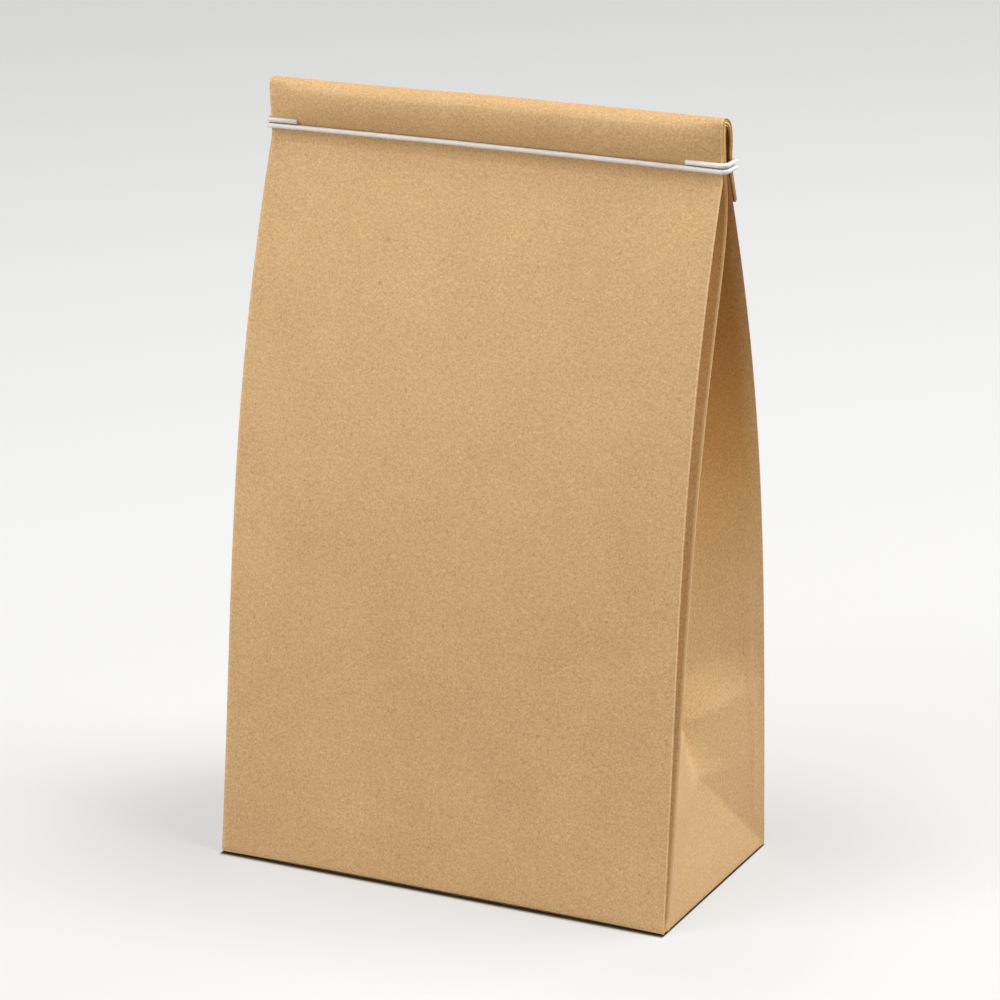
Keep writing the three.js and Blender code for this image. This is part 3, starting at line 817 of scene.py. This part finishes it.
TIE_ROUGHNESS = (0.34, 0.46)
TIE_BUMP = {"Strength": 0.2, "Distance": 0.0001}
NOISE_MIDDLE = (0.3, 0.7)  # nearly all of a noise's values


def add_node(tree, kind, inputs=None, **settings):
    """A node with its settings, and its inputs given as values or as sockets to link from."""
    node = tree.nodes.new(kind)
    for name, value in settings.items():
        setattr(node, name, value)
    for key, value in (inputs or {}).items():
        if isinstance(value, bpy.types.NodeSocket):
            tree.links.new(value, node.inputs[key])
        else:
            node.inputs[key].default_value = value
    return node


def add_math(tree, operation, *values):
    return add_node(tree, "ShaderNodeMath", dict(enumerate(values)), operation=operation).outputs[0]


def add_range(tree, signal, given, wanted, interpolation="LINEAR"):
    """The signal stretched from the given range to the wanted one and held at its ends."""
    node = add_node(tree, "ShaderNodeMapRange", {
        "Value": signal, "From Min": given[0], "From Max": given[1], "To Min": wanted[0], "To Max": wanted[1],
    }, interpolation_type=interpolation)
    return node.outputs[0]


def add_mix(tree, factor, first, second, blend="MIX"):
    """One colour mixed with another."""
    inputs = {"Factor": factor, "A": first, "B": second}
    return add_node(tree, "ShaderNodeMix", inputs, data_type="RGBA", blend_type=blend).outputs["Result"]


def add_ramp(tree, signal, tones):
    """The signal's colour between tones, each of them a place and a colour."""
    node = add_node(tree, "ShaderNodeValToRGB", {"Fac": signal})
    stops = node.color_ramp.elements
    for number in (0, -1):
        stops[number].position = tones[number][0]
        stops[number].color = (*tones[number][1], 1)
    for place, colour in tones[1:-1]:
        stops.new(place).color = (*colour, 1)
    return node.outputs[0]


def weighted_sum(tree, start, parts):
    """The start value plus each signal's distance from 0.5 times its weight."""
    total = start
    for signal, weight in parts:
        centred = add_math(tree, "SUBTRACT", signal, 0.5)
        total = add_math(tree, "MULTIPLY_ADD", centred, weight, total)
    return total


def new_material(name):
    material = bpy.data.materials.new(name)
    material.use_nodes = True
    return material, material.node_tree, material.node_tree.nodes["Principled BSDF"]


def kraft_paper():
    """Uncoated brown kraft: cloudy formation, fine fibres, a few dark flecks, lighter worn folds with a
    painted highlight and sheen, and painted shade deep in the folds.
    """
    material, tree, shader = new_material("kraft_paper")
    place = add_node(tree, "ShaderNodeTexCoord").outputs["Object"]

    def grain(scale, detail, stretch=(1, 1, 1), distortion=0.0):
        mapping = add_node(tree, "ShaderNodeMapping", {"Vector": place, "Scale": stretch})
        node = add_node(tree, "ShaderNodeTexNoise", {
            "Vector": mapping.outputs[0], "Scale": scale, "Detail": detail, "Distortion": distortion,
        })
        return node.outputs["Fac"]

    def stored(name):
        return add_node(tree, "ShaderNodeAttribute", attribute_name=name).outputs["Fac"]

    clouds = grain(scale=55, detail=3)
    formation = grain(scale=420, detail=3)
    fibres = grain(scale=2500, detail=2, stretch=(1, 1, 0.6), distortion=0.5)
    cross_fibres = grain(scale=2700, detail=1, stretch=(0.6, 1, 1), distortion=0.4)
    flecks = grain(scale=800, detail=1, stretch=(1, 1, 0.5))

    tone = weighted_sum(tree, 0.5, [(clouds, 0.25), (formation, 0.1), (fibres, 0.95), (cross_fibres, 0.7)])
    # lighter where worn, and where a highlight or sheen is painted
    worn_and_sheened = add_math(tree, "MULTIPLY_ADD", stored("fold_wear_and_sheen"), WEAR_AND_SHEEN_LIGHTENING, tone)
    fleck = add_range(tree, flecks, FLECK_SIGNAL, (0, FLECK_STRENGTH))
    flecked = add_mix(tree, fleck, add_ramp(tree, worn_and_sheened, KRAFT_TONES), FLECK_COLOUR)
    # painted shade: a darker, warmer colour deep in the folds
    painted_shade = add_ramp(tree, stored("painted_fold_shade"), PAINTED_SHADE_TONES)
    tree.links.new(add_mix(tree, 1, flecked, painted_shade, "MULTIPLY"), shader.inputs["Base Color"])

    relief = weighted_sum(tree, 0.5, [(fibres, 0.6), (cross_fibres, 0.5), (formation, 0.15)])
    bump = add_node(tree, "ShaderNodeBump", {"Height": relief, **KRAFT_BUMP})
    tree.links.new(bump.outputs[0], shader.inputs["Normal"])
    rough = add_range(tree, formation, NOISE_MIDDLE, KRAFT_ROUGHNESS)
    tree.links.new(rough, shader.inputs["Roughness"])
    shader.inputs["Specular IOR Level"].default_value = KRAFT_SPECULAR
    return material


def tie_coating():
    """Warm white satin plastic over wire, faintly uneven."""
    material, tree, shader = new_material("tie_coating")
    place = add_node(tree, "ShaderNodeTexCoord").outputs["Object"]
    cloud = add_node(tree, "ShaderNodeTexNoise", {"Vector": place, "Scale": 350, "Detail": 2}).outputs["Fac"]
    tree.links.new(add_ramp(tree, cloud, TIE_TONES), shader.inputs["Base Color"])
    rough = add_range(tree, cloud, NOISE_MIDDLE, TIE_ROUGHNESS)
    tree.links.new(rough, shader.inputs["Roughness"])
    bump = add_node(tree, "ShaderNodeBump", {"Height": cloud, **TIE_BUMP})
    tree.links.new(bump.outputs[0], shader.inputs["Normal"])
    return material


# Studio, with its sizes in metres

SOFTBOXES = [  # name, place, size and power
    ("high front left", (-0.5, -0.9, 1.45), 1.2, 18),
    ("low left", (-1.2, -1.3, 0.5), 1.0, 13),
    ("right", (0.9, 0.2, 1.5), 1.0, 25),
    ("right back", (1.0, 1.1, 0.8), 0.9, 11),
]
SOFTBOX_TARGET = (0, 0, 0.1)
FLOOR_RADIUS = 30.0
FLOOR_SIDES = 96
FLOOR_DROP = 0.0002
FLOOR_COLOUR = (0.74, 0.737, 0.73, 1)  # as it is seen
FLOOR_BOUNCE = (0.45, 0.45, 0.45, 1)  # as it lights the bag from below
FLOOR_ROUGHNESS = 0.9
FLOOR_SPECULAR = 0.1
GLOW_SHARE = 0.62  # share of the seen floor that is a plain pale backdrop
GLOW_COLOUR = (1, 0.997, 0.99, 1)
GLOW_START = (0.0002, 0.003)  # it comes in between these distances from the contact
GLOW_BESIDE = (0.8, 0.955)  # its level beside the bag, lowered there as a painted soft shadow, and at the next distance
GLOW_BESIDE_REACH = 0.07
GLOW_AWAY = (1, 0.86)  # and what is left of it between these distances from the middle
GLOW_AWAY_REACH = (0.2, 1.2)
PAINTED_CONTACT_SHADOW_COLOUR = (0.04, 0.025, 0.012, 1)  # a painted contact shadow right under the bag's edge
CONTACT_INSET = (0.0003, 0.0002)  # the darkest part ends this far inside the foot, across and along
CONTACT_MIDDLE = (0, -0.0004, 0)
CONTACT_STRETCH = (4, 1, 1)  # beside the bag's ends the contact fades this much sooner
CONTACT_REACH = 0.0018
BACKDROP_LEVEL = 0.65
CAMERA_PLACE = (0.40654, -0.84163, 0.38604)
CAMERA_DIP = math.radians(17.485)
CAMERA_TURN = math.radians(25.685)
CAMERA_LENS = 144.3  # millimetres, as the sensor
CAMERA_SENSOR = 36


def seen_rays(tree):
    """1 for rays that show a surface: from the camera, in a reflection or through something clear."""
    rays = add_node(tree, "ShaderNodeLightPath").outputs
    total = rays["Is Camera Ray"]
    for name in ("Is Glossy Ray", "Is Transmission Ray"):
        total = add_math(tree, "MAXIMUM", total, rays[name])
    return total


def add_floor():
    bpy.ops.mesh.primitive_circle_add(vertices=FLOOR_SIDES, radius=FLOOR_RADIUS, fill_type="NGON",
                                      location=(0, 0, -FLOOR_DROP))
    floor = bpy.context.object
    floor.name = "floor"
    floor.data.materials.append(studio_floor())
    return floor


def studio_floor():
    """A matt white floor with a painted contact shadow under the bag's edge. What is seen of it is partly a
    pale backdrop, lowered beside the bag as a painted soft shadow, and less far off.
    """
    material, tree, shader = new_material("studio_floor")
    place = add_node(tree, "ShaderNodeTexCoord").outputs["Object"]
    seen = seen_rays(tree)
    foot = (BASE_WIDTH / 2 * MM, BASE_DEPTH / 2 * MM, 0)
    dark = (foot[0] - CONTACT_INSET[0], foot[1] - CONTACT_INSET[1], 0)

    def vector(operation, first, second=(0, 0, 0)):
        return add_node(tree, "ShaderNodeVectorMath", {0: first, 1: second}, operation=operation).outputs

    def outside(middle, half_size):
        """Vector from a rectangle on the floor to the place that is seen."""
        from_middle = vector("ABSOLUTE", vector("SUBTRACT", place, middle)[0])[0]
        return vector("MAXIMUM", vector("SUBTRACT", from_middle, half_size)[0])[0]

    def soft(signal, given, wanted):
        return add_range(tree, signal, given, wanted, "SMOOTHSTEP")

    beside = vector("LENGTH", outside((0, 0, 0), foot))["Value"]
    from_contact = vector("MULTIPLY", outside(CONTACT_MIDDLE, dark), CONTACT_STRETCH)[0]
    touching = vector("LENGTH", from_contact)["Value"]
    away = vector("LENGTH", place)["Value"]

    # Painted contact shadow: the seen floor turns dark brown under the bag's edge
    clear = add_mix(tree, soft(touching, (0, CONTACT_REACH), (0, 1)), PAINTED_CONTACT_SHADOW_COLOUR, FLOOR_COLOUR)
    tree.links.new(add_mix(tree, seen, FLOOR_BOUNCE, clear), shader.inputs["Base Color"])
    shader.inputs["Roughness"].default_value = FLOOR_ROUGHNESS
    shader.inputs["Specular IOR Level"].default_value = FLOOR_SPECULAR

    # painted soft shadow: the backdrop's glow is lower beside the bag
    near = soft(beside, (0, GLOW_BESIDE_REACH), GLOW_BESIDE)
    level = add_math(tree, "MULTIPLY", near, soft(away, GLOW_AWAY_REACH, GLOW_AWAY))
    glow = add_node(tree, "ShaderNodeEmission", {"Color": GLOW_COLOUR, "Strength": level})
    share = add_math(tree, "MULTIPLY", seen, soft(touching, GLOW_START, (0, GLOW_SHARE)))
    both = add_node(tree, "ShaderNodeMixShader", {0: share, 1: shader.outputs[0], 2: glow.outputs[0]})
    tree.links.new(both.outputs[0], tree.nodes["Material Output"].inputs["Surface"])
    return material


def add_softbox(name, place, size, power):
    light = bpy.data.lights.new(name, "AREA")
    light.shape = "RECTANGLE"
    light.size = light.size_y = size
    light.energy = power
    lamp = bpy.data.objects.new(name, light)
    lamp.location = place
    lamp.rotation_euler = (Vector(SOFTBOX_TARGET) - Vector(place)).to_track_quat("-Z", "Y").to_euler()
    bpy.context.scene.collection.objects.link(lamp)


def add_world():
    """A backdrop that is pale where it is seen and gives no light."""
    world = bpy.data.worlds.new("studio")
    bpy.context.scene.world = world
    world.use_nodes = True
    tree = world.node_tree
    level = add_range(tree, seen_rays(tree), (0, 1), (0, BACKDROP_LEVEL))
    background = tree.nodes["Background"]
    background.inputs["Color"].default_value = (1, 1, 1, 1)
    tree.links.new(level, background.inputs["Strength"])


def add_camera():
    """The photograph's viewpoint: right of the front and a little above, through a long lens."""
    data = bpy.data.cameras.new("camera")
    data.sensor_width = CAMERA_SENSOR
    data.lens = CAMERA_LENS
    camera = bpy.data.objects.new("camera", data)
    camera.location = CAMERA_PLACE
    camera.rotation_euler = (math.pi / 2 - CAMERA_DIP, 0, CAMERA_TURN)
    bpy.context.scene.collection.objects.link(camera)
    bpy.context.scene.camera = camera


paper = make_paper_bag()
paper.data.materials.append(kraft_paper())
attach(paper, "root")
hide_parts("paper_bag")

tie = make_tie()
tie.data.materials.append(tie_coating())
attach(tie, "root")
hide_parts("tin_tie")

add_floor()
for softbox in SOFTBOXES:
    add_softbox(*softbox)
add_world()
add_camera()
bpy.context.scene.view_settings.view_transform = "Standard"
